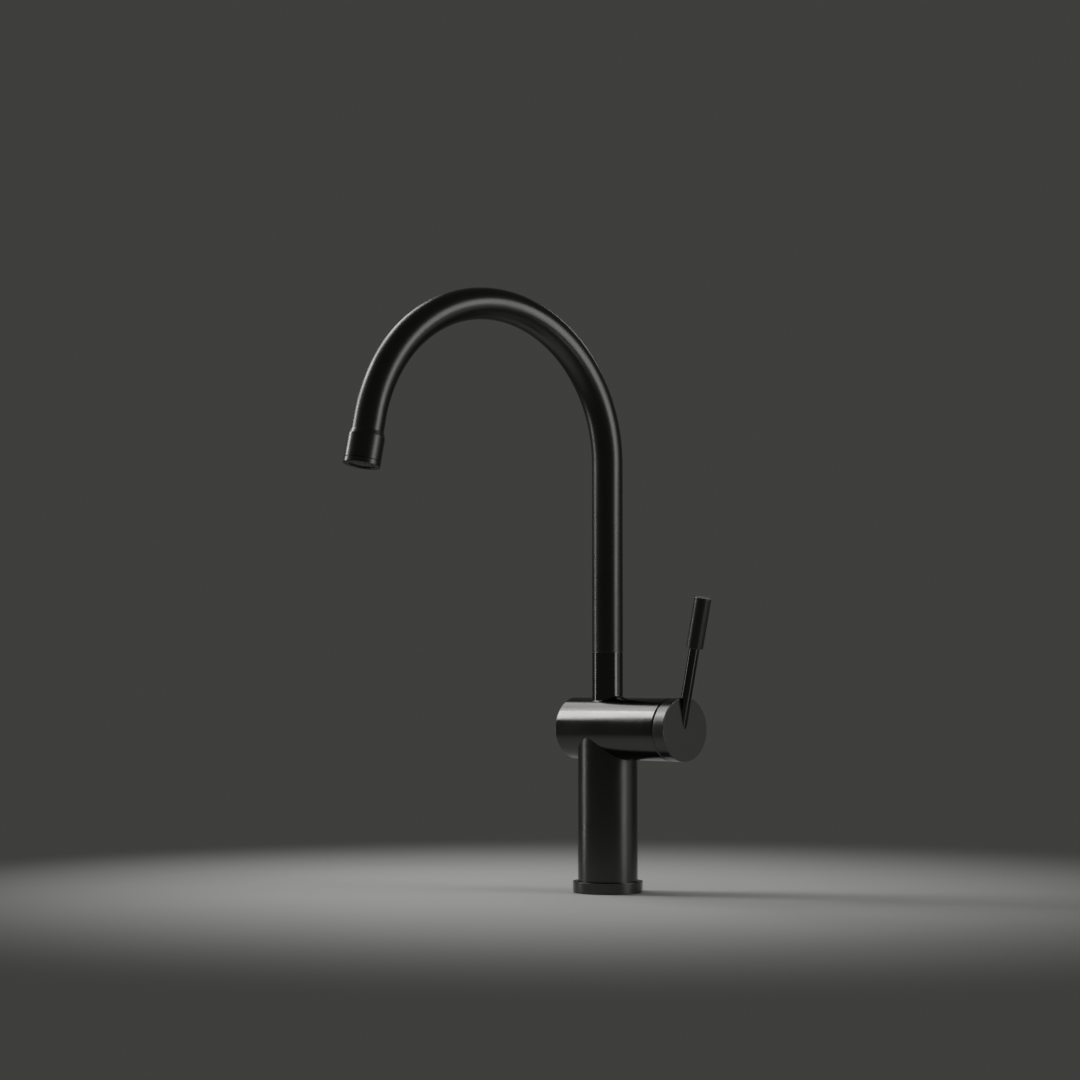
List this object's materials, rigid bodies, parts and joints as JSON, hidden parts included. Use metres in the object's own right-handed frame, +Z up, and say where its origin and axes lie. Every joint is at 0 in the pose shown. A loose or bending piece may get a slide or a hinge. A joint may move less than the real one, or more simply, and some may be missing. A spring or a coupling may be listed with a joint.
{
  "type": "gooseneck kitchen faucet",
  "caption": "Tall gooseneck kitchen faucet with a slim side lever, a swivelling spout, a horizontal valve housing and an under-deck clamp, in satin black metal.",
  "frame": {"origin": "centre of the base flange's underside, on the column's axis, at deck level", "axes": "+Z up the column, +X along the valve housing to the lever, the spout reaches towards -Y"},
  "size_m": [0.1274, 0.2495, 0.4669],
  "materials": {
    "black_metal": "satin black coating on metal",
    "brass": "machined brass",
    "copper": "drawn copper tube",
    "steel": "bright zinc or stainless steel",
    "rubber": "matt black rubber",
    "black_plastic": "matt black plastic",
    "grey_plastic": "moulded grey plastic",
    "white_plastic": "moulded white plastic",
    "ceramic": "lapped alumina"
  },
  "bodies": {
    "body": {"base_flange": "black_metal", "base_gasket": "rubber", "column": "black_metal", "base_insert": "brass", "hot_inlet_pipe": "copper", "cold_inlet_pipe": "copper", "mounting_stud": "steel", "clamp_gasket": "rubber", "clamp_plate": "steel", "clamp_nut": "brass", "valve_housing": "black_metal", "rear_plug": "black_metal", "waterway_core": "brass", "cartridge_base": "grey_plastic", "port_seals": "rubber", "fixed_disc": "ceramic", "cartridge_body": "grey_plastic", "cartridge_nut": "brass", "neck_sleeve": "black_metal", "spout_grub_screw": "steel"},
    "spout": {"swivel_spigot": "brass", "swivel_seal_lower": "rubber", "swivel_seal_upper": "rubber", "thrust_ring": "black_plastic", "spout_tube": "black_metal", "nozzle_collar": "black_metal", "aerator_ring": "black_metal", "aerator_insert": "black_plastic", "aerator_screen": "steel", "aerator_gasket": "rubber"},
    "rotor": {"cartridge_rotor": "white_plastic", "stem_pivot_pin": "steel"},
    "lever": {"lever_cap": "black_metal", "cap_grub_screw": "steel", "grub_plug": "black_plastic", "lever_rod": "black_metal", "lever_grip": "black_metal", "cartridge_stem": "steel"},
    "disc": {"disc_carrier": "white_plastic", "moving_disc": "ceramic"}
  },
  "joints": [
    {"name": "spout_swivel", "type": "hinge", "parent": "body", "child": "spout", "pos_m": [0, 0, 0.168], "axis": [0, 0, 1], "range_deg": [-70.8, 79.2]},
    {"name": "temperature_turn", "type": "hinge", "parent": "body", "child": "rotor", "pos_m": [0.0458, 0, 0.1146], "axis": [1, 0, 0], "range_deg": [-45, 45]},
    {"name": "flow_tilt", "type": "hinge", "parent": "rotor", "child": "lever", "pos_m": [0.0458, 0, 0.1146], "axis": [0, 1, 0], "range_deg": [0, 20]},
    {"name": "disc_slide", "type": "slide", "parent": "rotor", "child": "disc", "axis": [0, 0, 1], "range_m": [0, 0.0035]}
  ],
  "couplings": [
    {"joint": "disc_slide", "follows": "flow_tilt", "m_per_rad": 0.01}
  ]
}
